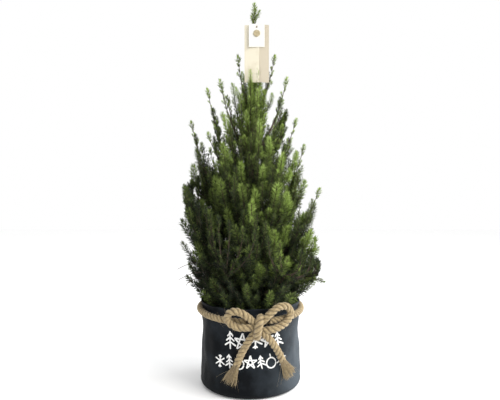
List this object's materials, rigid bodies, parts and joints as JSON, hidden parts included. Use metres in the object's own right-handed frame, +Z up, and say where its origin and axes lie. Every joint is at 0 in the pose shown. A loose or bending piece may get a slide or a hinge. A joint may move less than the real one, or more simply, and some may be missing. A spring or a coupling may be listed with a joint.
{
  "type": "potted dwarf spruce tree",
  "caption": "Dwarf conical spruce standing in a soft dark fabric planter, with a thick jute rope tied in a bow round the rim and a blank card tag hung on the leading shoot.",
  "frame": {"origin": "the middle of the planter's flat underside", "axes": "+Z up along the planter's axis, -Y towards the bow and the tag, +X to the right as the bow is faced"},
  "size_m": [0.288, 0.2644, 0.8],
  "materials": {
    "sleeve": "matte",
    "soil": "matte",
    "bark": "matte",
    "foliage": "matte",
    "rope": "matte",
    "card": "matte",
    "label": "matte",
    "seal": "satin"
  },
  "bodies": {
    "root": {"bough_belly_1": "bark", "bough_belly_3": "bark", "bough_belly_5": "bark", "bough_middle_1": "bark", "bough_middle_3": "bark", "bough_middle_5": "bark", "bough_shoulder_1": "bark", "bough_shoulder_3": "bark", "bough_shoulder_5": "bark", "bough_skirt_1": "bark", "bough_skirt_3": "bark", "bough_skirt_5": "bark", "foliage_belly_1": "foliage", "foliage_belly_2": "foliage", "foliage_belly_3": "foliage", "foliage_belly_4": "foliage", "foliage_belly_5": "foliage", "foliage_belly_6": "foliage", "foliage_crest_1": "foliage", "foliage_crest_2": "foliage", "foliage_crest_3": "foliage", "foliage_crest_4": "foliage", "foliage_leader_stalk": "foliage", "foliage_leader_tip": "foliage", "foliage_middle_1": "foliage", "foliage_middle_2": "foliage", "foliage_middle_3": "foliage", "foliage_middle_4": "foliage", "foliage_middle_5": "foliage", "foliage_middle_6": "foliage", "foliage_shoulder_1": "foliage", "foliage_shoulder_2": "foliage", "foliage_shoulder_3": "foliage", "foliage_shoulder_4": "foliage", "foliage_shoulder_5": "foliage", "foliage_shoulder_6": "foliage", "foliage_skirt_1": "foliage", "foliage_skirt_2": "foliage", "foliage_skirt_3": "foliage", "foliage_skirt_4": "foliage", "foliage_skirt_5": "foliage", "foliage_skirt_6": "foliage", "foliage_upper_1": "foliage", "foliage_upper_2": "foliage", "foliage_upper_3": "foliage", "foliage_upper_4": "foliage", "foliage_upper_5": "foliage", "planter_sleeve": "sleeve", "potting_soil": "soil", "rope_band": "rope", "rope_knot": "rope", "rope_loop_left": "rope", "rope_loop_right": "rope", "rope_tail_left": "rope", "rope_tail_right": "rope", "tag_card": "card", "tag_label": "label", "tag_seal": "seal", "tag_string": "rope", "trunk": "bark"}
  },
  "joints": []
}
